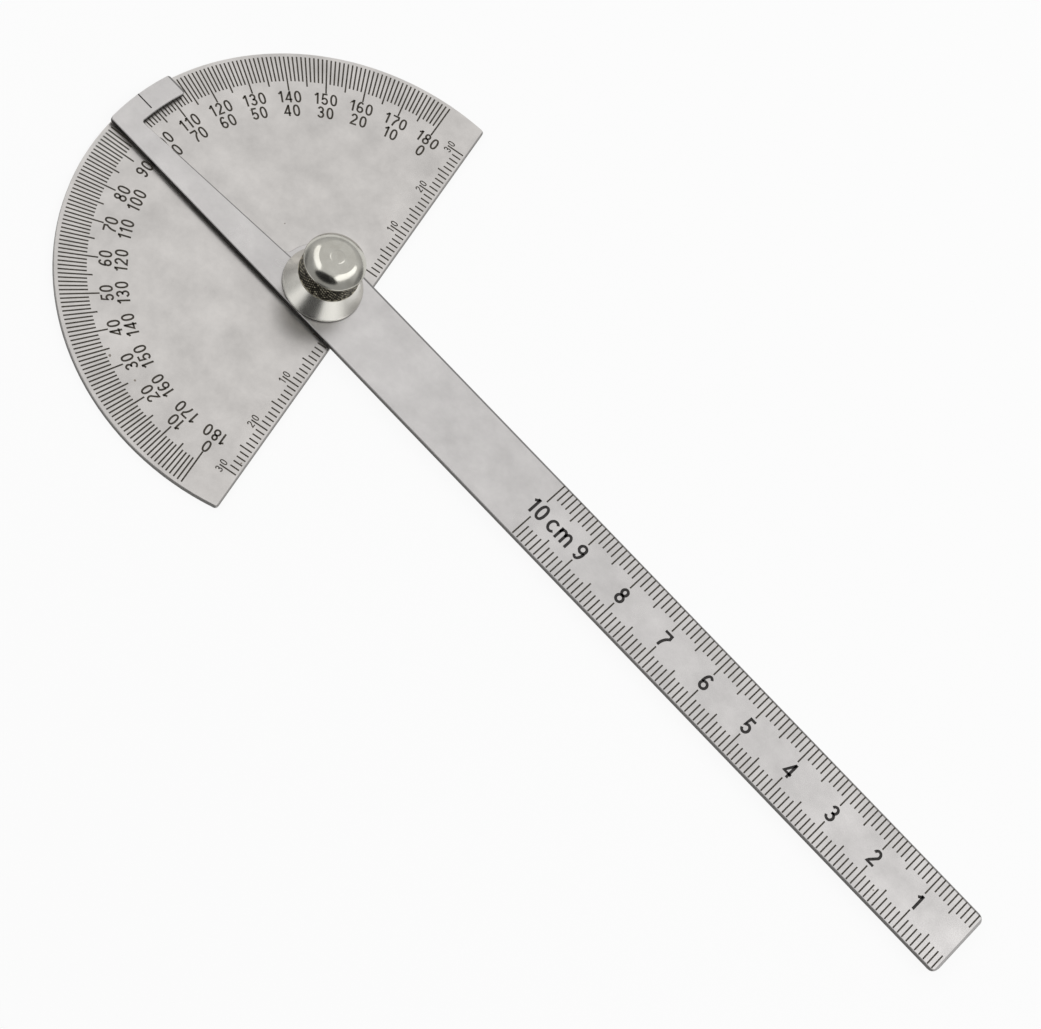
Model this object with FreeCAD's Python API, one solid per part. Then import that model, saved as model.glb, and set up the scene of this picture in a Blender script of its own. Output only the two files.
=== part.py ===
import FreeCAD, Part
import math
import os

V = FreeCAD.Vector

# Lengths are in millimetres and angles in degrees.
# The pivot axis is the Z axis, and the plate's back lies on Z = 0 with the graduated face up.
# The straight edge runs along X on the -Y side, and the half circle is on the +Y side.

# Sheet and outline of the protractor plate
plate_radius = 45.2
edge_drop = 7.2
plate_thickness = 1.0
plate_corner = 0.7
edge_break = 0.12

# Pose and outline of the ruler arm
arm_reading = 103.6
arm_width = 13.8
arm_thickness = 1.0
arm_reach = 152.5
arm_corner = 1.3
head_overhang = 0.2
head_depth = 4.2
head_corner = 0.6
strip_width_head = 3.9
strip_width_root = 6.3
strip_corner = 0.4
root_reach = 1.0
root_corner = 1.0

# Etched graduations
tick_width = 0.28
tick_depth = 0.08
degree_margin = 0.7
degree_lengths = {10: 6.7, 5: 5.8, 1: 4.85}
edge_margin = 0.6
edge_zero = 8.0
edge_span = 30
edge_lengths = {10: 3.2, 5: 2.3, 1: 1.7}
arm_margin = 0.2
arm_span = 100
arm_lengths = {10: 4.65, 5: 4.05, 1: 3.1}
index_length = 3.4
index_width = 0.25

# Clamp stud
stud_head_radius = 4.4
stud_head_thickness = 0.5
stud_shank_radius = 3.0
stud_shank_flats = 4.8
journal_radius = 2.5
thread_radius = 2.0
thread_flats = 3.2
thread_length = 6.8
thread_chamfer = 0.35

# Fits
seat_clearance = 0.02
pivot_clearance = 0.05
thread_clearance = 0.05
key_clearance = 0.08
journal_recess = 0.05

# Washers
spacer_radius = 6.2
spacer_thickness = 0.25
keyed_radius = 5.4
keyed_step = 0.5
keyed_thickness = 0.25
keyed_face_thickness = 0.25

# Clamp knob
rim_radius = 7.0
rim_height = 0.35
rim_gap = 0.05
neck_radius = 4.7
neck_height = 3.6
band_radius = 5.3
band_foot = 4.3
bead_radius = 5.4
bead_foot = 8.5
bead_corner = 0.5
bead_slope = 48.0
dome_radius = 3.1
dome_height = 10.35
crown_rise = 0.25
knob_play = 0.02
recess_clearance = 0.1
bore_depth = 7.3
drill_angle = 118.0

# Heights that follow from the stack
spacer_base = plate_thickness
arm_base = spacer_base + spacer_thickness
arm_top = arm_base + arm_thickness
journal_top = arm_top - journal_recess
keyed_top = arm_top + keyed_face_thickness + keyed_thickness
knob_base = arm_top + rim_gap

# Outline sizes of the arm that follow from its width and from the plate
half_width = arm_width / 2
head_radius = plate_radius + head_overhang
head_inner_radius = head_radius - head_depth
root_radius = half_width + root_reach

# Largest difference between two heights that count as the same
tiny = 1e-6


def disc(radius, base, height):
    """Return an upright cylinder on the pivot axis."""
    return Part.makeCylinder(radius, height, V(0, 0, base))


def ring(outer, inner, base, height):
    """Return a flat ring on the pivot axis."""
    return disc(outer, base, height).cut(disc(inner, base, height))


def flatted(radius, across, base, height):
    """Return a cylinder on the pivot axis with two flats facing +X and -X."""
    block = Part.makeBox(across, 2 * radius, height, V(-across / 2, -radius, base))
    return disc(radius, base, height).common(block)


def upright_edges(solid, spots, reach=0.05):
    """Return the solid's upright edges that stand on the given (x, y) spots."""
    found = []
    for edge in solid.Edges:
        ends = [vertex.Point for vertex in edge.Vertexes]
        if len(ends) != 2:
            continue
        level = math.hypot(ends[0].x - ends[1].x, ends[0].y - ends[1].y)
        if level > reach:
            continue
        for x, y in spots:
            if math.hypot(ends[0].x - x, ends[0].y - y) < reach:
                found.append(edge)
    return found


def broken(solid, levels):
    """Return the solid with a small chamfer around its flat faces at the given heights."""
    edges = []
    for face in solid.Faces:
        box = face.BoundBox
        flat = box.ZLength < tiny
        if flat and min(abs(box.ZMin - level) for level in levels) < tiny:
            edges.extend(face.OuterWire.Edges)
    return solid.makeChamfer(edge_break, edges)


def length_for(step, lengths):
    """Return the tick length for a count: tens are longest, then fives, then ones."""
    for unit in (10, 5, 1):
        if step % unit == 0:
            return lengths[unit]


def tick(start, end, width, top):
    """Return a cutter for a V-shaped groove on the X axis from start to end.

    The groove is as wide as asked where it meets the face at the height top.
    """
    corners = [
        V(start, 0, top - tick_depth),
        V(start, width, top + tick_depth),
        V(start, -width, top + tick_depth),
        V(start, 0, top - tick_depth),
    ]
    return Part.Face(Part.makePolygon(corners)).extrude(V(end - start, 0, 0))


def placed(shape, x, y, angle):
    """Return the shape turned about Z and then moved to (x, y)."""
    moved = shape.copy()
    moved.rotate(V(0, 0, 0), V(0, 0, 1), angle)
    moved.translate(V(x, y, 0))
    return moved


def degree_ticks():
    """Return the cutters of the half-circle degree scale."""
    outer = plate_radius - degree_margin
    cutters = []
    for reading in range(181):
        inner = outer - length_for(reading, degree_lengths)
        line = tick(inner, outer, tick_width, plate_thickness)
        cutters.append(placed(line, 0, 0, 180 - reading))
    return cutters


def edge_ticks():
    """Return the cutters of the two millimetre scales along the straight edge."""
    foot = -edge_drop + edge_margin
    cutters = []
    for side in (-1, 1):
        for count in range(int(edge_span) + 1):
            line = tick(0, length_for(count, edge_lengths), tick_width, plate_thickness)
            cutters.append(placed(line, side * (edge_zero + count), foot, 90))
    return cutters


def arm_ticks():
    """Return the cutters of the two millimetre scales on the arm, counted from its free end."""
    outer = half_width - arm_margin
    cutters = []
    for side in (-1, 1):
        for count in range(1, int(arm_span) + 1):
            inner = outer - length_for(count, arm_lengths)
            line = tick(side * outer, side * inner, tick_width, arm_top)
            cutters.append(placed(line, 0, count - arm_reach, 0))
    return cutters


def make_plate():
    """The half-round sheet with its stud seat and both kinds of scale."""
    keep = 2 * plate_radius
    block = Part.makeBox(2 * keep, keep, plate_thickness, V(-keep, -edge_drop, 0))
    plate = disc(plate_radius, 0, plate_thickness).common(block)
    corner = math.sqrt(plate_radius ** 2 - edge_drop ** 2)
    corners = upright_edges(plate, [(corner, -edge_drop), (-corner, -edge_drop)])
    plate = plate.makeFillet(plate_corner, corners)
    plate = broken(plate, [0, plate_thickness])
    seat = disc(stud_head_radius + seat_clearance, 0, stud_head_thickness)
    hole = flatted(
        stud_shank_radius + seat_clearance,
        stud_shank_flats + 2 * seat_clearance,
        0,
        plate_thickness,
    )
    plate = plate.cut(seat.fuse(hole))
    return plate.cut(Part.makeCompound(degree_ticks() + edge_ticks()))


def make_stud():
    """The flush-headed stud with a keyed shank, a plain journal and a flatted thread."""
    head = disc(stud_head_radius, 0, stud_head_thickness)
    shank = flatted(
        stud_shank_radius,
        stud_shank_flats,
        stud_head_thickness,
        plate_thickness - stud_head_thickness,
    )
    journal = disc(journal_radius, plate_thickness, journal_top - plate_thickness)
    thread_top = journal_top + thread_length
    body = disc(thread_radius, journal_top, thread_length)
    tip = [edge for edge in body.Edges if edge.BoundBox.ZMin > thread_top - tiny]
    body = body.makeChamfer(thread_chamfer, tip)
    block = Part.makeBox(
        thread_flats,
        2 * thread_radius,
        thread_length,
        V(-thread_flats / 2, -thread_radius, journal_top),
    )
    return head.fuse([shank, journal, body.common(block)]).removeSplitter()


def make_spacer():
    """The thin washer that holds the arm clear of the etched face."""
    return ring(spacer_radius, journal_radius + pivot_clearance, spacer_base, spacer_thickness)


def make_arm():
    """The ruler arm: a bar that ends in a tapering strip and a hooked index head."""
    length = arm_reach + head_radius
    blank = Part.makeBox(arm_width, length, arm_thickness, V(-half_width, -arm_reach, arm_base))
    head = disc(head_radius, arm_base, arm_thickness)
    bar = Part.makeBox(arm_width, arm_reach, arm_thickness, V(-half_width, -arm_reach, arm_base))
    blank = blank.common(head.fuse(bar))

    # The window is the part of a ring that lies to the right of the strip's slanting edge.
    x_head = strip_width_head - half_width
    x_root = strip_width_root - half_width
    y_head = math.sqrt(head_inner_radius ** 2 - x_head ** 2)
    y_root = math.sqrt(root_radius ** 2 - x_root ** 2)
    slope = (x_head - x_root) / (y_head - y_root)
    x_low = x_root - slope * y_root
    x_high = x_root + slope * (head_radius - y_root)
    side = Part.makePolygon([
        V(x_low, 0, arm_base),
        V(arm_width, 0, arm_base),
        V(arm_width, head_radius, arm_base),
        V(x_high, head_radius, arm_base),
        V(x_low, 0, arm_base),
    ])
    right = Part.Face(side).extrude(V(0, 0, arm_thickness))
    window = ring(head_inner_radius, root_radius, arm_base, arm_thickness).common(right)
    arm = blank.cut(window)

    tip_outer = math.sqrt(head_radius ** 2 - half_width ** 2)
    tip_inner = math.sqrt(head_inner_radius ** 2 - half_width ** 2)
    shoulder = math.sqrt(root_radius ** 2 - half_width ** 2)
    tips = [(-half_width, tip_outer), (half_width, tip_outer), (half_width, tip_inner)]
    arm = arm.makeFillet(head_corner, upright_edges(arm, tips))
    arm = arm.makeFillet(strip_corner, upright_edges(arm, [(x_head, y_head)]))
    roots = [(x_root, y_root), (half_width, shoulder)]
    arm = arm.makeFillet(root_corner, upright_edges(arm, roots))
    ends = [(-half_width, -arm_reach), (half_width, -arm_reach)]
    arm = arm.makeFillet(arm_corner, upright_edges(arm, ends))
    arm = broken(arm, [arm_base, arm_top])

    arm = arm.cut(disc(journal_radius + pivot_clearance, arm_base, arm_thickness))
    index = tick(head_radius - index_length, head_radius, index_width, arm_top)
    cutters = arm_ticks() + [placed(index, 0, 0, 90)]
    arm = arm.cut(Part.makeCompound(cutters))
    return placed(arm, 0, 0, 90 - arm_reading)


def make_keyed_washer():
    """The stepped washer that the flats keep from turning with the knob."""
    face = disc(keyed_radius - keyed_step, arm_top, keyed_face_thickness)
    flange = disc(keyed_radius, arm_top + keyed_face_thickness, keyed_thickness)
    hole = flatted(
        thread_radius + key_clearance,
        thread_flats + 2 * key_clearance,
        arm_top,
        keyed_top - arm_top,
    )
    return face.fuse(flange).removeSplitter().cut(hole)


def make_knob():
    """The turned knob: flared skirt, gripping band and dome over a blind threaded bore."""
    mouth_radius = keyed_radius - keyed_step + recess_clearance
    recess_radius = keyed_radius + recess_clearance
    recess_base = arm_top + keyed_face_thickness - knob_play
    bore_radius = thread_radius + thread_clearance
    bore_top = keyed_top + bore_depth
    drill_top = bore_top + bore_radius / math.tan(math.radians(drill_angle / 2))

    crown_rim = V(dome_radius, 0, knob_base + dome_height)
    crown_top = crown_rim + V(-dome_radius, 0, crown_rise)

    # The bead's rounded corner turns from upright to the slope at which the dome's side begins.
    slope = math.radians(bead_slope)
    outward = V(math.sin(slope), 0, math.cos(slope))
    half_outward = V(math.cos(slope / 2), 0, math.sin(slope / 2))
    bead_centre = V(bead_radius - bead_corner, 0, knob_base + bead_foot)
    bead_middle = bead_centre + half_outward * bead_corner
    side_foot = bead_centre + outward * bead_corner

    # The side is an arc that is tangent to the corner and passes through the rim of the crown.
    chord = crown_rim - side_foot
    side_radius = -chord.dot(chord) / (2 * chord.dot(outward))
    side_centre = side_foot - outward * side_radius
    halfway = side_foot + crown_rim - side_centre * 2
    side_middle = side_centre + halfway.normalize() * side_radius

    crown_radius = (dome_radius ** 2 + crown_rise ** 2) / (2 * crown_rise)
    crown_half = math.asin(dome_radius / crown_radius) / 2
    crown_middle = V(
        crown_radius * math.sin(crown_half),
        0,
        crown_top.z - crown_radius * (1 - math.cos(crown_half)),
    )

    outline = [
        V(0, 0, drill_top),
        V(bore_radius, 0, bore_top),
        V(bore_radius, 0, keyed_top),
        V(recess_radius, 0, keyed_top),
        V(recess_radius, 0, recess_base),
        V(mouth_radius, 0, recess_base),
        V(mouth_radius, 0, knob_base),
        V(rim_radius, 0, knob_base),
        V(rim_radius, 0, knob_base + rim_height),
        V(neck_radius, 0, knob_base + neck_height),
        V(band_radius, 0, knob_base + band_foot),
        V(band_radius, 0, knob_base + bead_foot),
        V(bead_radius, 0, knob_base + bead_foot),
    ]
    edges = Part.makePolygon(outline).Edges
    edges.append(Part.Arc(outline[-1], bead_middle, side_foot).toShape())
    edges.append(Part.Arc(side_foot, side_middle, crown_rim).toShape())
    edges.append(Part.Arc(crown_rim, crown_middle, crown_top).toShape())
    edges.append(Part.makeLine(crown_top, outline[0]))
    profile = Part.Face(Part.Wire(Part.__sortEdges__(edges)))
    return profile.revolve(V(0, 0, 0), V(0, 0, 1), 360)


pieces = {
    "protractor_plate": make_plate,
    "clamp_stud": make_stud,
    "spacer_washer": make_spacer,
    "ruler_arm": make_arm,
    "keyed_washer": make_keyed_washer,
    "clamp_knob": make_knob,
}

os.makedirs("parts", exist_ok=True)
for name, make in pieces.items():
    shape = make()
    if shape.ShapeType == "Compound" and len(shape.Solids) == 1:
        shape = shape.Solids[0]
    shape.exportStep(os.path.join("parts", name + ".step"))
    print(name, len(shape.Solids), shape.isValid(), round(shape.Volume, 3))
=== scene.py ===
import bpy
import numpy as np
from mathutils import Matrix, Vector


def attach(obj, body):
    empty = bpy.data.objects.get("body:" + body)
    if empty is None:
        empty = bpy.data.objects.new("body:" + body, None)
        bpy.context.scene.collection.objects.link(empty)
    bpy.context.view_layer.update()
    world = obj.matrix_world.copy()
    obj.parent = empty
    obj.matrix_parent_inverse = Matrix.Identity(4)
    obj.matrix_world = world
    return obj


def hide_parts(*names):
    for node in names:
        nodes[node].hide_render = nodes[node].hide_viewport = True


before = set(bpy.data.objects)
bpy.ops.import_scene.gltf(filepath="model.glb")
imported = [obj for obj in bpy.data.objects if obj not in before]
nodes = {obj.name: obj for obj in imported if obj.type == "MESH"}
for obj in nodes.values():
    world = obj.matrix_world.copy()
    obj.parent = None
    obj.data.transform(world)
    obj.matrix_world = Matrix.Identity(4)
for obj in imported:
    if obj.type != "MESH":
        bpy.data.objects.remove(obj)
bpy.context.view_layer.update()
scene = bpy.context.scene
MM = 0.001


# The protractor plate
# A half-round blank stamped from 1 mm stainless sheet, tumbled and brushed to a fine satin.
# Its face is faintly mottled, with stray scratches and a few dark pits from handling.

plate_top = 1.0 * MM
edge_break = 0.12 * MM
sheet_colour = (0.695, 0.670, 0.648)
pit_colour = (0.30, 0.27, 0.24, 1.0)
# Painted shade: the walls' dark colours. The darkest is a painted shadow from the gap under the arm.
wall_shade_colour = (0.135, 0.131, 0.123, 1.0)
free_wall_shade_colour = (0.125, 0.121, 0.115, 1.0)
gap_shadow_colour = (0.035, 0.033, 0.030, 1.0)


def new_material(name):
    """A new material, its node tree and its surface shader."""
    material = bpy.data.materials.new(name)
    material.use_nodes = True
    tree = material.node_tree
    return material, tree, tree.nodes["Principled BSDF"]


def feed(tree, target, inputs):
    """Set each input of a node to a value, or link it to the output of another node."""
    for name, value in inputs.items():
        if isinstance(value, bpy.types.NodeSocket):
            tree.links.new(value, target.inputs[name])
        else:
            target.inputs[name].default_value = value


def add(tree, kind, inputs, **settings):
    """A shader node of a kind, with its settings made before its inputs are fed."""
    made = tree.nodes.new("ShaderNode" + kind)
    for setting, value in settings.items():
        setattr(made, setting, value)
    feed(tree, made, inputs)
    return made


def position(tree):
    """The place of a point in its piece's own space."""
    return add(tree, "TexCoord", {}).outputs["Object"]


def axes(tree, vector):
    """The X, Y and Z of a vector, by name."""
    return add(tree, "SeparateXYZ", {"Vector": vector}).outputs


def mapped(tree, vector, turn=0.0, scale=(1.0, 1.0, 1.0)):
    """A vector times its scale, then turned about Z."""
    inputs = {"Vector": vector, "Rotation": (0.0, 0.0, turn), "Scale": scale}
    return add(tree, "Mapping", inputs).outputs["Vector"]


def noise(tree, vector, scale, detail=2.0, roughness=0.5):
    """Layers of noise: each has twice the scale of the last and its strength times roughness."""
    inputs = {"Vector": vector, "Scale": scale, "Detail": detail, "Roughness": roughness}
    return add(tree, "TexNoise", inputs).outputs["Fac"]


def compute(tree, operation, *values):
    """A sum, a product or a test of values. A test gives one where it holds and else zero."""
    return add(tree, "Math", dict(enumerate(values)), operation=operation).outputs["Value"]


def remap(tree, value, low, high, at_low=0.0, at_high=1.0):
    """A value that runs from at_low to at_high while the given one runs from low to high."""
    inputs = {"Value": value, "From Min": low, "From Max": high, "To Min": at_low, "To Max": at_high}
    return add(tree, "MapRange", inputs).outputs["Result"]


def mix(tree, share, first, second, kind="RGBA"):
    """The first value where the share is zero, the second where it is one."""
    mixed = add(tree, "Mix", {"Factor": share, "A": first, "B": second}, data_type=kind)
    return mixed.outputs["Result"]


def bump(tree, height, strength, distance):
    """The normal of a face that rises and falls with the height."""
    inputs = {"Height": height, "Strength": strength, "Distance": distance}
    return add(tree, "Bump", inputs).outputs["Normal"]


def shade(colour, share):
    """A share of a colour, as the four numbers that an input takes."""
    return (*[share * c for c in colour], 1.0)


def steel_material(
    name, colour, roughness, wall=None, turn=0.0, grain=1.0, mottle=1.0, pits=1.0,
    over=None, edges=(), seam=None,
):
    """Satin stainless steel, brushed along X once its points are turned about Z.
    The colour is the base colour times a slow cloud, with small dark pits where a cell noise
    comes near a few of its points. The roughness follows a second cloud. The bump is noise
    stretched along the brushing, less a few thin scratches.
    wall: two heights with the rough sheared edge between them, whose colour is painted shade.
    over: how far along X the wall lies over the plate, where it is darkest, as painted shadow.
    edges: an axis, a signed limit and a share each. Past the limit the edge is painted dark as shade,
    and that share of the colour is left.
    seam: a slope, an offset, a start, an end and a share. The painted shadow line's Y is the slope
    times X plus the offset, from the start to the end along X."""
    material, tree, shader = new_material(name)
    place = position(tree)
    turned = mapped(tree, place, turn)
    spot = axes(tree, turned)

    cloud = noise(tree, turned, 150.0, detail=7.0, roughness=0.66)
    tone = remap(tree, cloud, 0.3, 0.7, 1.0 - 0.055 * mottle, 1.0 + 0.035 * mottle)
    base = add(tree, "VectorMath", {0: colour, "Scale": tone}, operation="SCALE")
    cells = add(tree, "TexVoronoi", {"Vector": turned, "Scale": 420.0})
    pit_size = remap(tree, noise(tree, turned, 260.0), 0.60, 0.74, 0.0, 0.13 * pits)
    pitted = compute(tree, "LESS_THAN", cells.outputs["Distance"], pit_size)
    finish = mix(tree, pitted, base.outputs["Vector"], pit_colour)

    worn = noise(tree, turned, 90.0, detail=3.0)
    dullness = remap(tree, worn, 0.3, 0.7, roughness - 0.04, roughness + 0.05)

    # Painted shade: the wall is painted dark, and darkest where the arm lies over the plate, as painted
    # shadow.
    if wall:
        height = axes(tree, place)["Z"]
        above = compute(tree, "GREATER_THAN", height, wall[0])
        under = compute(tree, "LESS_THAN", height, wall[1])
        on_wall = compute(tree, "MULTIPLY", above, under)
        wall_shade = wall_shade_colour
        if over:
            beyond = compute(tree, "GREATER_THAN", spot["X"], over)
            wall_shade = mix(tree, beyond, gap_shadow_colour, free_wall_shade_colour)
        finish = mix(tree, on_wall, finish, wall_shade)
        dullness = mix(tree, on_wall, dullness, 0.5, "FLOAT")
    # Painted shade: past each limit the edge's colour is darkened.
    for axis, limit, share in edges:
        side = "GREATER_THAN" if limit > 0 else "LESS_THAN"
        past = compute(tree, side, spot[axis], limit)
        finish = mix(tree, past, finish, shade(colour, share))
    # Painted shadow: a thin dark line along the seam.
    if seam:
        slope, offset, start, end, share = seam
        half_width = 0.12 * MM
        lean = add(tree, "VectorMath", {0: turned, 1: (-slope, 1.0, 0.0)}, operation="DOT_PRODUCT")
        on_line = compute(tree, "COMPARE", lean.outputs["Value"], offset, half_width)
        in_span = compute(tree, "COMPARE", spot["X"], (start + end) / 2, (end - start) / 2)
        on_seam = compute(tree, "MULTIPLY", on_line, in_span)
        finish = mix(tree, on_seam, finish, shade(colour, share))

    drawn = mapped(tree, turned, scale=(200.0, 6000.0, 6000.0))
    brushing = noise(tree, drawn, 1.0, detail=3.0)
    raked = mapped(tree, turned, turn=0.7, scale=(45.0, 1500.0, 1500.0))
    scratches = remap(tree, noise(tree, raked, 1.0, detail=0.0), 0.70, 0.76, 0.0, -0.6)
    relief = compute(tree, "ADD", brushing, scratches)
    feed(tree, shader, {
        "Metallic": 1.0,
        "Base Color": finish,
        "Roughness": dullness,
        "Normal": bump(tree, relief, 0.12 * grain, 0.02 * MM),
    })
    return material


def dress(node, material):
    """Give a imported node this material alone."""
    node.data.materials.clear()
    node.data.materials.append(material)


plate_wall = (edge_break, plate_top - edge_break)
# Painted shade: a dark band along the straight edge, past Y of -6.9 mm.
straight_edge_shade = ("Y", -6.9 * MM, 0.52)
dress(nodes["protractor_plate"], steel_material(
    "satin_sheet", sheet_colour, 0.31, plate_wall, grain=1.6, mottle=2.8, edges=[straight_edge_shade]
))


# The etched marks on the plate
# Photo-etched lines with a dark fill: a stroke for each degree, and two millimetre scales on
# the straight edge. The grooves are in the sheet, and these strips are the fill in them.

line_width = 0.28 * MM
film = 0.004 * MM
degree_outer = 44.5 * MM
degree_lengths = {10: 6.7 * MM, 5: 5.8 * MM, 1: 4.85 * MM}
edge_zero = 8.0 * MM
edge_foot = -6.6 * MM
edge_span = 30
edge_lengths = {10: 3.2 * MM, 5: 2.3 * MM, 1: 1.7 * MM}


def mark_lengths(counts, lengths):
    """The length of each mark: that of the tens, else of the fives, else of the ones."""
    short = np.where(counts % 5 == 0, lengths[5], lengths[1])
    return np.where(counts % 10 == 0, lengths[10], short)


def strips(starts, ends, width, height):
    """Flat strips, one from each start to each end. A strip's corners are its two ends moved by
    half the width against the line's left normal and along it."""
    along = ends - starts
    along = along / np.linalg.norm(along, axis=1, keepdims=True)
    left = np.stack([-along[:, 1], along[:, 0]], axis=1) * width / 2
    corners = np.stack([starts - left, ends - left, ends + left, starts + left], axis=1)
    points = np.concatenate([corners, np.full(corners.shape[:2] + (1,), height)], axis=2)
    faces = np.arange(len(starts) * 4).reshape(-1, 4)
    return points.reshape(-1, 3), faces.tolist()


def piece(name, points, faces, material, body, smooth=False):
    """A mesh of the points and faces, dressed and riding on its body."""
    mesh = bpy.data.meshes.new(name)
    mesh.from_pydata(points.tolist(), [], faces)
    mesh.polygons.foreach_set("use_smooth", np.full(len(faces), smooth))
    mesh.materials.append(material)
    thing = bpy.data.objects.new(name, mesh)
    scene.collection.objects.link(thing)
    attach(thing, body)
    return thing


def ramp(tree, value, stops):
    """A colour that runs evenly from stop to stop as the value grows. A stop is a value and its
    colour."""
    made = add(tree, "ValToRGB", {"Fac": value})
    band = made.color_ramp.elements
    band[0].position, band[0].color = stops[0]
    band[1].position, band[1].color = stops[-1]
    for spot, colour in stops[1:-1]:
        band.new(spot).color = colour
    return made.outputs["Color"]


def etch_material(name, colour):
    """Dark matt fill. Its colour and roughness follow a fine noise, because the fill is uneven."""
    material, tree, shader = new_material(name)
    uneven = noise(tree, position(tree), 2600.0, detail=3.0)
    feed(tree, shader, {
        "Base Color": ramp(tree, uneven, [(0.35, shade(colour, 0.75)), (0.75, shade(colour, 1.7))]),
        "Roughness": remap(tree, uneven, 0.0, 1.0, 0.55, 0.85),
        "Specular IOR Level": 0.25,
    })
    return material


plate_etch = etch_material("plate_etch", (0.055, 0.048, 0.038))
readings = np.arange(181)
turns = np.pi - np.radians(readings)
rays = np.stack([np.cos(turns), np.sin(turns)], axis=1)
inner = degree_outer - mark_lengths(readings, degree_lengths)
degree_starts = rays * inner[:, None]
degree_ends = rays * degree_outer

counts = np.tile(np.arange(edge_span + 1), 2)
sides = np.repeat([-1.0, 1.0], edge_span + 1)
edge_x = sides * (edge_zero + counts * MM)
edge_y = edge_foot + mark_lengths(counts, edge_lengths)
edge_starts = np.stack([edge_x, np.full(len(edge_x), edge_foot)], axis=1)
edge_ends = np.stack([edge_x, edge_y], axis=1)
points, faces = strips(
    np.concatenate([degree_starts, edge_starts]),
    np.concatenate([degree_ends, edge_ends]),
    line_width,
    plate_top + film / 2,
)
piece("plate_marks", points, faces, plate_etch, "plate")


# The numerals on the plate
# Two rows of degree figures, the outer row rising to the right and the inner row to the left,
# with one 90 between the rows, and small tens on the straight edge, whose strokes are thinner.

figure_height = 2.25 * MM
figure_stroke = 0.34 * MM
figure_gap = 0.13
outer_row = 36.62 * MM
inner_row = 33.95 * MM
middle_row = 35.6 * MM
edge_figure_height = 1.35 * MM
edge_figure_stroke = 0.2 * MM
edge_figure_row = -3.75 * MM
edge_figure_aside = 0.72 * MM


def bow(cx, cy, rx, ry, start, end, count=13, square=2.0):
    """Points on a superellipse: the centre, plus each radius times a cosine or sine that keeps
    its sign and is raised to the power two over the squareness."""
    turn = np.radians(np.linspace(start, end, count))
    c, s = np.cos(turn), np.sin(turn)
    power = 2.0 / square
    x = cx + rx * np.sign(c) * np.abs(c) ** power
    y = cy + ry * np.sign(s) * np.abs(s) ** power
    return np.stack([x, y], axis=1)


def path(*parts):
    """One stroke through single points and arrays of points."""
    return np.concatenate([np.atleast_2d(np.array(part, float)) for part in parts])


# Each figure is a width and its strokes' centre lines, in a box one unit high.
six = [
    path(bow(0.29, 0.29, 0.205, 0.225, 180, -180, 25)),
    path(bow(0.31, 0.46, 0.225, 0.475, 185, 48, 13)),
]
figures = {
    "0": (0.58, [path(bow(0.29, 0.5, 0.205, 0.435, 180, -180, 33, 2.3))]),
    "1": (0.40, [
        path((0.27, 0.0), (0.27, 0.99)),
        path((0.04, 0.735), bow(0.04, 1.0, 0.2, 0.22, -60, -8, 5)),
    ]),
    "2": (0.58, [
        path(bow(0.285, 0.70, 0.19, 0.235, 172, -32, 13), (0.13, 0.18), (0.075, 0.065), (0.53, 0.065)),
    ]),
    "3": (0.58, [
        path(bow(0.275, 0.725, 0.18, 0.21, 165, -90, 14), (0.21, 0.515)),
        path((0.23, 0.515), bow(0.275, 0.29, 0.21, 0.225, 90, -165, 16)),
    ]),
    "4": (0.58, [path((0.55, 0.26), (0.06, 0.26), (0.40, 0.93)), path((0.41, 0.0), (0.41, 0.99))]),
    "5": (0.58, [
        path((0.50, 0.93), (0.165, 0.93), (0.11, 0.47), bow(0.285, 0.315, 0.205, 0.25, 135, -160, 15)),
    ]),
    "6": (0.58, six),
    "7": (0.58, [path((0.05, 0.93), (0.52, 0.93), bow(0.80, 0.0, 0.56, 0.80, 118, 180, 8))]),
    "8": (0.58, [
        path(bow(0.29, 0.735, 0.17, 0.20, 180, -180, 25)),
        path(bow(0.29, 0.285, 0.205, 0.22, 180, -180, 25)),
    ]),
    "9": (0.58, [np.array([0.58, 1.0]) - stroke for stroke in six]),
    "c": (0.55, [path(bow(0.31, 0.40, 0.25, 0.33, 42, 318, 17))]),
    "m": (0.92, [
        path((0.09, 0.0), (0.09, 0.80)),
        path((0.09, 0.45), bow(0.275, 0.47, 0.185, 0.27, 180, 0, 9), (0.46, 0.0)),
        path((0.46, 0.45), bow(0.645, 0.47, 0.185, 0.27, 180, 0, 9), (0.83, 0.0)),
    ]),
}


def ribbon(line, width):
    """A flat ribbon along a line. At each point the two rails lie half the width to either side
    along the mean of the neighbouring normals, lengthened at a bend by one over its cosine, which
    counts as 0.6 at least."""
    steps = np.diff(line, axis=0)
    steps = steps / np.linalg.norm(steps, axis=1, keepdims=True)
    closed = np.allclose(line[0], line[-1])
    before = np.concatenate([steps[-1:] if closed else steps[:1], steps])
    after = np.concatenate([steps, steps[:1] if closed else steps[-1:]])
    normals = np.stack([-before[:, 1] - after[:, 1], before[:, 0] + after[:, 0]], axis=1)
    normals = normals / np.linalg.norm(normals, axis=1, keepdims=True)
    straight = np.stack([-after[:, 1], after[:, 0]], axis=1)
    cosine = np.maximum(0.6, np.sum(normals * straight, axis=1))
    offset = normals * (width / 2 / cosine)[:, None]
    rails = np.concatenate([line + offset, line - offset])
    count = len(line)
    first = np.arange(count - 1)
    faces = np.stack([first, first + count, first + count + 1, first + 1], axis=1)
    return rails, faces


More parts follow.
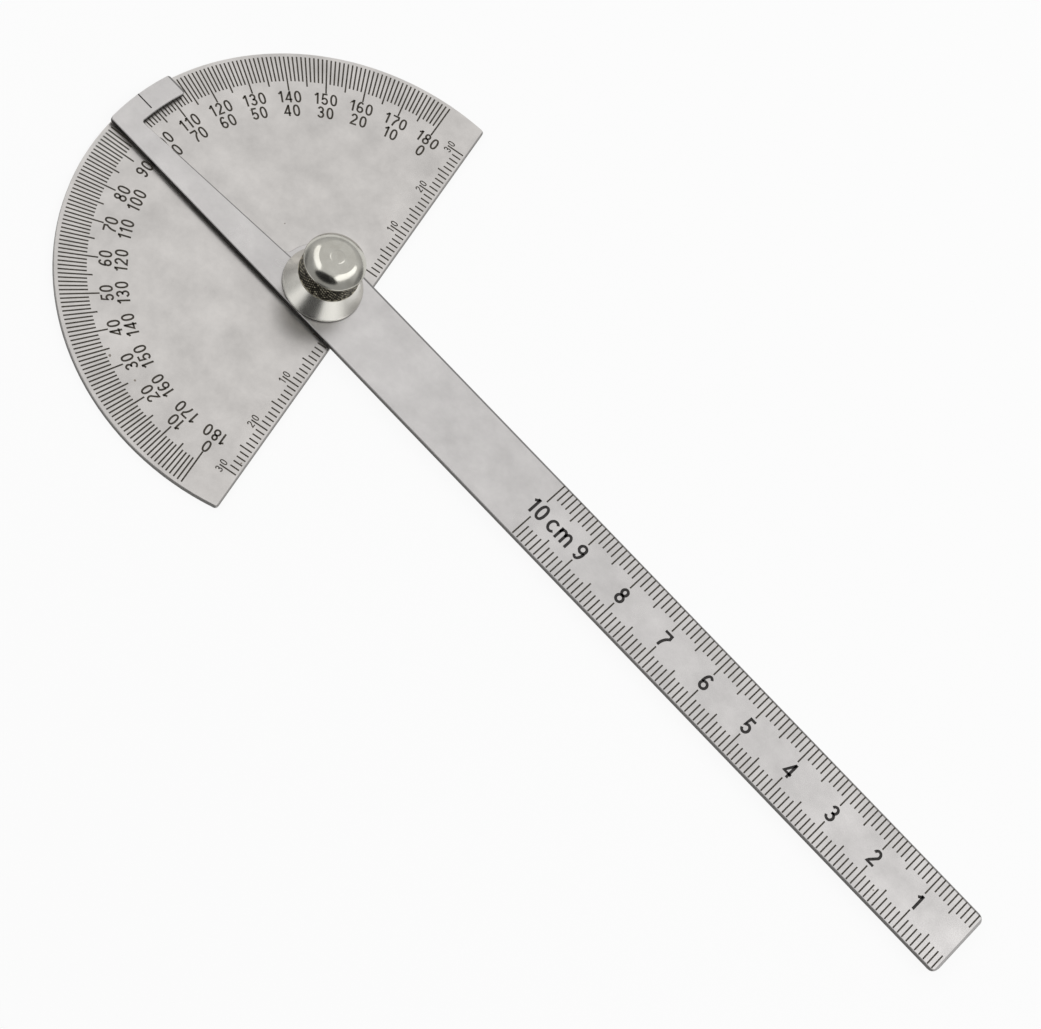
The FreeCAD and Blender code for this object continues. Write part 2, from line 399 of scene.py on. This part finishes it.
def lettering(labels, height, stroke, level, gap):
    """Figures laid flat. Each label is its text, its middle and its upward direction, and a
    figure's point is the middle plus its offsets along the reading and upward directions."""
    found_points, found_faces, total = [], [], 0
    for text, middle, up in labels:
        up = np.array(up) / np.hypot(*up)
        right = np.array([up[1], -up[0]])
        width = sum(figures[sign][0] for sign in text) + gap * (len(text) - 1)
        pen = -width / 2
        for sign in text:
            for line in figures[sign][1]:
                flat, faces = ribbon(line, stroke / height)
                x = (flat[:, :1] + pen) * height
                y = (flat[:, 1:] - 0.5) * height
                xy = np.array(middle) + x * right + y * up
                found_points.append(np.concatenate([xy, np.full((len(xy), 1), level)], axis=1))
                found_faces.append(faces + total)
                total += len(xy)
            pen += figures[sign][0] + gap
    return np.concatenate(found_points), np.concatenate(found_faces).tolist()


labels = []
for reading in range(0, 181, 10):
    turn = np.pi - np.radians(reading)
    ray = np.array([np.cos(turn), np.sin(turn)])
    rows = [(reading, outer_row), (180 - reading, inner_row)]
    if reading == 90:
        rows = [(90, middle_row)]
    labels += [(str(value), ray * row, ray) for value, row in rows]
points, faces = lettering(labels, figure_height, figure_stroke, plate_top + film, figure_gap)
piece("degree_figures", points, faces, plate_etch, "plate")

labels = []
for side in (-1, 1):
    for count in range(10, edge_span + 1, 10):
        x = side * (edge_zero + count * MM)
        for sign, aside in zip(str(count), (-edge_figure_aside, edge_figure_aside)):
            labels.append((sign, (x + aside, edge_figure_row), (0, 1)))
points, faces = lettering(labels, edge_figure_height, edge_figure_stroke, plate_top + film, 0.0)
piece("edge_figures", points, faces, plate_etch, "plate")


# The ruler arm
# A flat bar blanked from 1 mm stainless, ground smoother than the plate along its length.
# Beyond the pivot it narrows to a strip that carries the hooked index head.

arm_base = 1.25 * MM
arm_top = 2.25 * MM
rest_reading = 103.6
arm_turn = np.radians(90 - rest_reading)
bar_colour = (0.690, 0.670, 0.660)
# Painted shade: the arm's walls are dark, darkest over the plate as painted shadow; its right edge and
# free end are darkened, and a painted shadow line runs along the window edge.
arm_wall = (arm_base, arm_top - edge_break)
grind = np.pi / 2 - arm_turn
over_plate = 7.4 * MM
edge_shades = [("Y", 6.5 * MM, 0.36), ("X", 152.05 * MM, 0.55)]
window_shadow_line = (0.07, -0.22 * MM, -34 * MM, -6.5 * MM, 0.40)
satin_bar = steel_material(
    "satin_bar", bar_colour, 0.30, arm_wall, grind,
    grain=1.4, mottle=2.4, pits=0.7, over=over_plate, edges=edge_shades, seam=window_shadow_line,
)
dress(nodes["ruler_arm"], satin_bar)


# The etched marks and figures on the arm
# Millimetre marks along both long edges, counted from the free end, centimetre figures between
# them, and the single index line on the head. The fill of the figures is almost black.

arm_reach = 152.5 * MM
arm_span = 100
arm_outer = 6.7 * MM
arm_lengths = {10: 4.65 * MM, 5: 4.05 * MM, 1: 3.1 * MM}
index_outer = 45.35 * MM
index_inner = 42.0 * MM
index_width = 0.25 * MM
arm_figure_height = 3.2 * MM
arm_figure_stroke = 0.52 * MM
arm_figure_gap = 0.12
unit_place = 94.75 * MM
arm_fill = etch_material("arm_fill", (0.062, 0.055, 0.044))
arm_etch = etch_material("arm_etch", (0.036, 0.033, 0.032))


def on_arm(points):
    """Turn points from the arm's own frame, where it lies along Y, to its rest position."""
    c, s = np.cos(arm_turn), np.sin(arm_turn)
    return points @ np.array([[c, s], [-s, c]])


counts = np.tile(np.arange(1, arm_span + 1), 2)
sides = np.repeat([-1.0, 1.0], arm_span)
along = counts * MM - arm_reach
inner = arm_outer - mark_lengths(counts, arm_lengths)
starts = np.stack([sides * arm_outer, along], axis=1)
ends = np.stack([sides * inner, along], axis=1)
points, faces = strips(on_arm(starts), on_arm(ends), line_width, arm_top + film / 2)
piece("arm_marks", points, faces, arm_fill, "arm")

index_line = on_arm(np.array([[0.0, index_inner], [0.0, index_outer]]))
points, faces = strips(index_line[:1], index_line[1:], index_width, arm_top + film / 2)
piece("index_mark", points, faces, arm_etch, "arm")

labels = []
arm_up = on_arm(np.array([1.0, 0.0]))
for count in range(1, 11):
    spot = on_arm(np.array([0.0, count * 10 * MM - arm_reach]))
    labels.append((str(count), spot, arm_up))
labels.append(("cm", on_arm(np.array([0.0, unit_place - arm_reach])), arm_up))
points, faces = lettering(labels, arm_figure_height, arm_figure_stroke, arm_top + film, arm_figure_gap)
piece("arm_figures", points, faces, arm_etch, "arm")


# The clamp stud
# Turned steel, swaged flush into the plate's back, with a plain journal for the arm.
# Above it is a thread of 0.7 mm pitch with two milled flats that hold the keyed washer.

stud_colour = (0.56, 0.55, 0.53)
head_radius = 4.4 * MM
head_height = 0.5 * MM
head_break = 0.06 * MM
shank_radius = 3.0 * MM
shank_flat = 2.4 * MM
journal_radius = 2.5 * MM
journal_break = 0.08 * MM
thread_radius = 2.0 * MM
thread_pitch = 0.7 * MM
thread_depth = 0.43 * MM
thread_flat = 1.6 * MM
thread_foot = 2.20 * MM
thread_top = 9.0 * MM
thread_tip = 1.65 * MM
thread_start = 0.5 * MM
flank_slope = 2.5
no_flat = 9 * MM
stud_rows = 156
stud_columns = 72


def stretch(corners, counts):
    """Corners joined by straight runs, each cut into its own number of equal steps."""
    runs = [
        corners[i] + (corners[i + 1] - corners[i]) * np.linspace(0, 1, n, endpoint=False)[:, None]
        for i, n in enumerate(counts)
    ]
    return np.concatenate(runs + [corners[-1:]])


def skin(x, y, height, low, high):
    """Points and faces of a grid of rings around the Z axis, one row to a ring, from its lowest
    row to its highest. One point on the axis closes it at either end."""
    rows, columns = x.shape
    grid = np.stack([x, y, height], axis=2).reshape(-1, 3)
    points = np.concatenate([grid, [[0, 0, low], [0, 0, high]]])
    row, column = np.meshgrid(np.arange(rows - 1), np.arange(columns), indexing="ij")
    after = (column + 1) % columns
    here, above = row * columns, (row + 1) * columns
    quads = np.stack([here + column, here + after, above + after, above + column], axis=2)
    ring = np.arange(columns)
    after = (ring + 1) % columns
    last = (rows - 1) * columns
    foot = np.stack([np.full(columns, rows * columns), after, ring], axis=1)
    top = np.stack([last + ring, last + after, np.full(columns, rows * columns + 1)], axis=1)
    return points, quads.reshape(-1, 4).tolist() + foot.tolist() + top.tolist()


below = np.array([
    [head_radius - head_break, 0.0],
    [head_radius, head_break],
    [head_radius, head_height],
    [shank_radius, head_height],
    [shank_radius, plate_top],
    [journal_radius, plate_top],
    [journal_radius, thread_foot - journal_break],
    [journal_radius - journal_break, thread_foot],
    [thread_radius, thread_foot],
])
lower = stretch(below, [1, 2, 2, 1, 1, 4, 1, 1])
threaded = np.linspace(thread_foot, thread_top, stud_rows + 1)[1:]
threaded = np.stack([np.full(stud_rows, thread_radius), threaded], axis=1)
profile = np.concatenate([lower, threaded])
turn = np.tile(np.linspace(0, 2 * np.pi, stud_columns, endpoint=False), (len(profile), 1))
radius = np.repeat(profile[:, :1], stud_columns, axis=1)
height = np.repeat(profile[:, 1:], stud_columns, axis=1)

# The thread is a groove whose depth rises and falls evenly with the height less the lead, which
# is the pitch times the turn. It runs out at the journal, and a cone of 45 degrees ends it.
phase = (height / thread_pitch - turn / (2 * np.pi)) % 1.0
groove = np.clip(flank_slope * (0.5 - np.abs(phase - 0.5)), 0.0, 1.0)
groove = groove * np.clip((height - thread_foot) / thread_start, 0.0, 1.0)
radius = radius - thread_depth * groove
radius = np.where(height > thread_foot, np.minimum(radius, thread_top - height + thread_tip), radius)

# Two flats cut the thread and two cut the shank: the rings' X is held between them. The margin
# keeps the test of radius and height clear of rounding.
margin = 0.01 * MM
flats = np.where(height > thread_foot, thread_flat, no_flat)
in_plate = (height > head_height - margin) & (height < plate_top + 0.1 * margin)
flats = np.where((radius < shank_radius + margin) & in_plate, shank_flat, flats)
points, faces = skin(
    np.clip(radius * np.cos(turn), -flats, flats), radius * np.sin(turn), height, 0.0, thread_top
)
turned_stud = steel_material("turned_stud", stud_colour, 0.30, mottle=0.5, pits=0.4)
stud = piece("threaded_stud", points, faces, turned_stud, "plate", smooth=True)
stud.data.set_sharp_from_angle(angle=np.radians(30))
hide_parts("clamp_stud")


# The washers
# Two stamped steel discs: a thin spacer between plate and arm, and a stepped washer in the
# knob's base, whose hole fits the flats of the thread.

washer_colour = (0.58, 0.57, 0.56)
washer_steel = steel_material("stamped_washer", washer_colour, 0.35, mottle=0.5, pits=0.4)
dress(nodes["spacer_washer"], washer_steel)
dress(nodes["keyed_washer"], washer_steel)


# The clamp knob
# Turned in one piece from bar and nickel plated: a flared skirt, a diamond-knurled band, and a
# polished dome whose top still shows the rings of the facing cut.

knob_base = 2.30 * MM
rim_radius = 7.0 * MM
rim_height = 0.35 * MM
neck_radius = 4.7 * MM
neck_height = 3.6 * MM
band_radius = 5.3 * MM
band_foot = 4.32 * MM
corner = 0.05 * MM
bore_radius = 2.05 * MM
bore_top = 7.75 * MM
cone_radius = 0.4 * MM
cone_height = 8.8 * MM
bore_tip = 8.98 * MM
recess_radius = 5.5 * MM
recess_top = 0.45 * MM
mouth_radius = 5.0 * MM
mouth_top = 0.18 * MM
knurl_foot = 4.55 * MM
knurl_top = 8.3 * MM
knurl_depth = 0.24 * MM
knurl_count = 44
knurl_pitch = 0.76 * MM
knurl_run_out = 0.15 * MM
knurl_rows = 75
undercut_radius = 5.2 * MM
bead_foot = 8.5 * MM
bead_round = 0.5 * MM
bead_x = 4.9 * MM
bead_turn = 42
shoulder_x = 0.927 * MM
shoulder_y = 4.923 * MM
shoulder_round = 5.846 * MM
shoulder_turn = 68.2
dome_radius = 3.1 * MM
dome_height = 10.35 * MM
knob_height = 10.6 * MM
crown_rows = 60
button_edge = (1.02 * MM, 1.44 * MM)
button_drop = 0.095 * MM
dip_rise = (1.6 * MM, 3.0 * MM)
ring_fade = (0.75 * MM, 1.25 * MM)
ring_depth = 0.008 * MM
ring_gap = 0.40 * MM
around = 440
nickel_tones = [(0.3, (0.50, 0.485, 0.435, 1.0)), (0.7, (0.58, 0.57, 0.52, 1.0))]
skirt_colour = (0.72, 0.705, 0.655, 1.0)
# Painted shade: the dark rim, bead and knurl colours below. The knurl's grooves hold dirt as well.
rim_shade_colour = (0.13, 0.125, 0.11, 1.0)
bead_shade_colour = (0.20, 0.19, 0.155, 1.0)
crest_colour = (0.50, 0.465, 0.36, 1.0)
groove_dirt_and_shade_colour = (0.008, 0.007, 0.005, 1.0)


def ease(value, low, high):
    """Zero up to low and one from high, with a smooth cubic between."""
    share = np.clip((value - low) / (high - low), 0.0, 1.0)
    return share * share * (3.0 - 2.0 * share)


below = np.array([
    [cone_radius, cone_height],
    [bore_radius, bore_top],
    [bore_radius, recess_top],
    [recess_radius, recess_top],
    [recess_radius, mouth_top],
    [mouth_radius, mouth_top],
    [mouth_radius, 0.0],
    [rim_radius - corner, 0.0],
    [rim_radius, corner],
    [rim_radius, rim_height - corner],
    [rim_radius - corner, rim_height],
    [neck_radius, neck_height - corner],
    [neck_radius + 0.02 * MM, neck_height + corner],
    [band_radius - 0.06 * MM, band_foot - 0.09 * MM],
    [band_radius, band_foot],
    [band_radius, knurl_foot],
])
skirt = stretch(below, [1, 1, 1, 2, 2, 2, 4, 1, 2, 1, 14, 1, 5, 1, 2])
knurled = np.linspace(knurl_foot, knurl_top, knurl_rows)[1:]
knurled = np.stack([np.full(len(knurled), band_radius), knurled], axis=1)
undercut = np.array([[undercut_radius, knurl_top + 0.04 * MM], [undercut_radius, bead_foot]])

# The bead is an arc out to the dome's widest ring, and the shoulder is a larger arc that runs on
# from it. The crown is a parabola of the distance from the axis.
bead = bow(bead_x, bead_foot, bead_round, bead_round, 0, bead_turn, 9)
shoulder = bow(
    shoulder_x, shoulder_y, shoulder_round, shoulder_round, bead_turn, shoulder_turn, 34
)[1:]
spread = np.linspace(1, 0, crown_rows)[1:-1]
crown = np.stack([
    dome_radius * spread,
    dome_height + (knob_height - dome_height) * (1 - spread ** 2),
], axis=1)
profile = np.concatenate([skirt, knurled, undercut, bead, shoulder, crown])
turn = np.tile(np.linspace(0, 2 * np.pi, around, endpoint=False), (len(profile), 1))
radius = np.repeat(profile[:, :1], around, axis=1)
height = np.repeat(profile[:, 1:], around, axis=1)

# The knurl is two crossing families of slanting grooves, and each point lies in the deeper one.
across = knurl_count * turn / (2 * np.pi)
climb = (height - knurl_foot) / knurl_pitch
rising = np.abs(2 * ((across + climb) % 1.0) - 1.0)
falling = np.abs(2 * ((across - climb) % 1.0) - 1.0)
inside = np.clip(np.minimum(height - knurl_foot, knurl_top - height) / knurl_run_out, 0, 1)
inside = np.where(radius > band_radius - corner, inside, 0.0)
radius = radius - knurl_depth * inside * np.maximum(rising, falling)

# The facing cut leaves a low button in the middle of a shallow dip, with fine rings on it that
# fade outwards. They rise and fall with the cosine of the distance from the axis.
facing = (height > dome_height) * 1.0
dip = ease(radius, *button_edge) * (1 - ease(radius, *dip_rise))
rings = (1 - ease(radius, *ring_fade)) * (1 - np.cos(2 * np.pi * radius / ring_gap))
height = height - facing * (button_drop * dip + ring_depth * rings)
points, faces = skin(
    radius * np.cos(turn),
    radius * np.sin(turn),
    height + knob_base,
    knob_base + bore_tip,
    knob_base + knob_height,
)


def greys(stops):
    """A ramp's stops of grey, from a value and its brightness each."""
    return [(spot, (bright, bright, bright, 1.0)) for spot, bright in stops]


def nickel_material():
    """Warm nickel plate. The dome is polished, the skirt is satin and the knurl is darkened, partly
    by dirt and partly as painted shade: the roughness and colour change with the height and the
    distance from the axis. The corner of the bead and the rim's wall are painted dark as shade. The
    bump is noise that depends only on the height and that distance, which gives turning marks around the
    axis."""
    material, tree, shader = new_material("nickel_plate")
    place = position(tree)
    height = axes(tree, place)["Z"]
    flat = add(tree, "VectorMath", {0: place, 1: (1.0, 1.0, 0.0)}, operation="MULTIPLY")
    length = add(tree, "VectorMath", {0: flat.outputs["Vector"]}, operation="LENGTH")
    from_axis = length.outputs["Value"]

    level = remap(tree, height, knob_base, knob_base + knob_height)
    dullness = ramp(tree, level, greys([
        (0.0, 0.25), (0.34, 0.25), (0.41, 0.42), (0.79, 0.42), (0.81, 0.16), (0.965, 0.16), (0.985, 0.22),
    ]))
    finish = ramp(tree, noise(tree, place, 500.0, detail=3.0), nickel_tones)

    # The knurl's grooves are darkened by depth: dirt, and painted shade too.
    depth = remap(tree, from_axis, band_radius - 0.17 * MM, band_radius - 0.03 * MM)
    uneven = remap(tree, noise(tree, place, 1300.0), 0.38, 0.66, 0.12, 1.5)
    clean_and_lit = compute(tree, "MULTIPLY", depth, uneven)
    knurl_colour = mix(tree, clean_and_lit, groove_dirt_and_shade_colour, crest_colour)
    over_foot = compute(tree, "GREATER_THAN", height, knob_base + knurl_foot - 0.04 * MM)
    under_bead = compute(tree, "LESS_THAN", height, knob_base + bead_foot - 0.01 * MM)
    in_band = compute(tree, "MULTIPLY", over_foot, under_bead)
    finish = mix(tree, in_band, finish, knurl_colour)

    on_skirt = compute(tree, "LESS_THAN", height, knob_base + neck_height)
    finish = mix(tree, on_skirt, finish, skirt_colour)
    # Painted shade: a dark ring at the bead's foot, under the lip.
    from_bead = compute(tree, "SUBTRACT", height, knob_base + bead_foot + 0.06 * MM)
    on_bead = compute(tree, "LESS_THAN", compute(tree, "ABSOLUTE", from_bead), 0.17 * MM)
    finish = mix(tree, on_bead, finish, bead_shade_colour)
    # Painted shade: the rim's low wall is dark.
    on_rim = compute(tree, "LESS_THAN", height, knob_base + rim_height - 0.04 * MM)
    finish = mix(tree, on_rim, finish, rim_shade_colour)

    meridian = add(tree, "CombineXYZ", {"X": from_axis, "Y": height}).outputs["Vector"]
    feed(tree, shader, {
        "Metallic": 1.0,
        "Base Color": finish,
        "Roughness": dullness,
        "Normal": bump(tree, noise(tree, meridian, 9000.0), 0.10, 0.01 * MM),
    })
    return material


knob = piece("knob_turned", points, faces, nickel_material(), "knob", smooth=True)
knob.data.set_sharp_from_angle(angle=np.radians(32))
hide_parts("clamp_knob")


# The floor, the light and the camera
# A white table under two oval lamps, in a grey tent, with four dark boards whose edges are soft.
# The camera stands where the photograph's perspective puts it.

floor_reach = 12.0
floor_drop = 0.05 * MM
floor_glow = 0.90
board_points = 48
tent_strength = 1.5
frame_width = 1041
focal_length = 3310.78
eye_place = [-0.278709, -0.030073, 0.485210]


def mix_surfaces(tree, share, first, second):
    """The surface is the first shader where the share is zero, the second where it is one."""
    mixed = add(tree, "MixShader", {0: share, 1: first, 2: second})
    feed(tree, tree.nodes["Material Output"], {"Surface": mixed.outputs["Shader"]})


corners = np.array([[-1, -1, 0], [1, -1, 0], [1, 1, 0], [-1, 1, 0]]) * floor_reach
floor_mesh = bpy.data.meshes.new("floor")
floor_mesh.from_pydata((corners - [0, 0, floor_drop]).tolist(), [], [(0, 1, 2, 3)])
floor = bpy.data.objects.new("floor", floor_mesh)
scene.collection.objects.link(floor)
table_white, tree, shader = new_material("table_white")
feed(tree, shader, {"Base Color": (0.9, 0.9, 0.9, 1.0), "Roughness": 0.9, "Specular IOR Level": 0.0})
rays = add(tree, "LightPath", {}).outputs
seen = compute(tree, "MAXIMUM", rays["Is Camera Ray"], rays["Is Glossy Ray"])
seen = compute(tree, "MAXIMUM", seen, rays["Is Transmission Ray"])
share = compute(tree, "MULTIPLY", seen, floor_glow)
glow = add(tree, "Emission", {})
mix_surfaces(tree, share, shader.outputs["BSDF"], glow.outputs["Emission"])
floor_mesh.materials.append(table_white)


def soft_box(name, middle, distance, along, length, width, radiance):
    """A long oval lamp that faces the pivot. Its power is its radiance times pi and its area,
    which is a quarter of pi times its length and width."""
    data = bpy.data.lights.new(name, "AREA")
    data.shape = "ELLIPSE"
    data.size = length
    data.size_y = width
    data.energy = radiance * np.pi * length * width * np.pi / 4
    thing = bpy.data.objects.new(name, data)
    back = Vector(middle).normalized()
    side = back.cross(Vector(along)).normalized()
    facing = Matrix((side.cross(back), side, back)).transposed()
    thing.matrix_world = Matrix.Translation(back * distance) @ facing.to_4x4()
    scene.collection.objects.link(thing)


soft_box(
    "soft_box_left", middle=(0.057, 0.659, 0.750), distance=1.2, along=(0.765, 0.328, -0.321),
    length=1.60, width=0.46, radiance=1.06,
)
soft_box(
    "soft_box_right", middle=(0.095, -0.602, 0.793), distance=0.80, along=(0.844, -0.221, -0.166),
    length=1.15, width=0.31, radiance=1.17,
)


def dark_card(name, middle, side, rise, core, depth=1.0):
    """A black oval board about its middle: its rim is half its side times the cosine of a full
    turn plus half its rise times the sine. It hides as much as its depth within the core, which
    is a share of the way to the rim, and thins evenly from there. A point's way to the rim is the
    length of its two shares of the half side and of the half rise."""
    turn = np.linspace(0, 2 * np.pi, board_points, endpoint=False)[:, None]
    rim = np.cos(turn) * np.array(side) / 2 + np.sin(turn) * np.array(rise) / 2
    mesh = bpy.data.meshes.new(name)
    mesh.from_pydata(rim.tolist(), [], [tuple(range(board_points))])
    cloth, tree, black = new_material(name)
    feed(tree, black, {"Base Color": (0.015, 0.015, 0.015, 1.0), "Roughness": 1.0})
    place = position(tree)
    shares = {}
    for axis, reach in (("X", np.array(side)), ("Y", np.array(rise))):
        inputs = {0: place, 1: 2 * reach / (reach @ reach)}
        shares[axis] = add(tree, "VectorMath", inputs, operation="DOT_PRODUCT").outputs["Value"]
    spot = add(tree, "CombineXYZ", shares).outputs["Vector"]
    way_out = add(tree, "VectorMath", {0: spot}, operation="LENGTH").outputs["Value"]
    thin = remap(tree, way_out, core, 1.0, 1.0 - depth, 1.0)
    clear = add(tree, "BsdfTransparent", {})
    mix_surfaces(tree, thin, black.outputs["BSDF"], clear.outputs["BSDF"])
    mesh.materials.append(cloth)
    card = bpy.data.objects.new(name, mesh)
    card.location = middle
    scene.collection.objects.link(card)
    card.visible_camera = False


dark_card("card_low", (-0.60, -0.10, 0.09), (0.0, 0.76, 0.0), (0.0, 0.0, 0.50), core=0.58)
dark_card("card_high", (-0.352, -0.038, 0.453), (0.0, 0.78, 0.0), (0.243, 0.026, 0.197), core=0.88)
dark_card("card_left", (-0.10, 0.59, 0.06), (0.985, 0.17, 0.0), (0.0, 0.0, 0.40), core=0.5, depth=0.62)
dark_card("card_right", (0.25, -0.55, 0.06), (0.64, 0.29, 0.0), (0.0, 0.0, 0.40), core=0.5, depth=0.62)

# The tent's brightness follows the height of a ray, on the camera's side and on the far side.
world = bpy.data.worlds.new("tent")
scene.world = world
world.use_nodes = True
tree = world.node_tree
way = axes(tree, add(tree, "TexCoord", {}).outputs["Generated"])
near_tones = greys([(0.10, 1.0), (0.20, 0.28), (0.60, 0.30), (0.80, 0.48), (0.92, 0.54)])
far_tones = greys([(0.0, 0.30), (0.17, 0.41), (0.5, 0.53), (0.9, 0.56)])
ahead = remap(tree, way["X"], 0.0, 0.5)
tent = mix(tree, ahead, ramp(tree, way["Z"], near_tones), ramp(tree, way["Z"], far_tones))
feed(tree, tree.nodes["Background"], {"Color": tent, "Strength": tent_strength})

camera = bpy.data.cameras.new("camera")
camera.sensor_width = 36.0
camera.lens = focal_length * camera.sensor_width / frame_width
camera.clip_start = 0.05
camera.clip_end = 20.0
eye = bpy.data.objects.new("camera", camera)
sight = np.array([
    [0.47850396, -0.82758356, 0.29349517],
    [-0.73606862, -0.56029479, -0.37983252],
    [0.47878696, -0.03428122, -0.87726156],
])
pose = np.eye(4)
pose[:3, :3] = (sight * [[1], [-1], [-1]]).T
pose[:3, 3] = eye_place
eye.matrix_world = Matrix(pose.tolist())
scene.collection.objects.link(eye)
scene.camera = eye
scene.view_settings.view_transform = "Standard"
